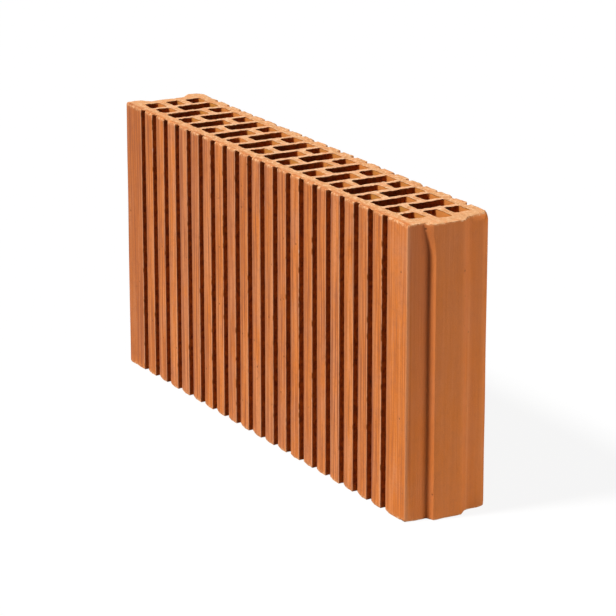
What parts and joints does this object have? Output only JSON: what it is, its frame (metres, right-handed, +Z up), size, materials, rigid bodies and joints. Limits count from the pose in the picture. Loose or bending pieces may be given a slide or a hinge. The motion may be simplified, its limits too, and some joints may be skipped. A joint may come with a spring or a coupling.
{
  "type": "perforated clay block",
  "caption": "Hollow fired-clay partition block with staggered upright cells, grooved long faces for plaster, and a tongue on one end that fits a recess in the other.",
  "frame": {"origin": "centre of the block's box on the lower bed face, on the floor", "axes": "+X along the length towards the tongue, -Y out of the long face that the picture shows, +Z up along the cells"},
  "size_m": [0.5074, 0.08, 0.249],
  "materials": {
    "clay": "matte unglazed fired clay with upright drag lines from the die"
  },
  "bodies": {
    "root": {"clay_block": "clay"}
  },
  "joints": []
}
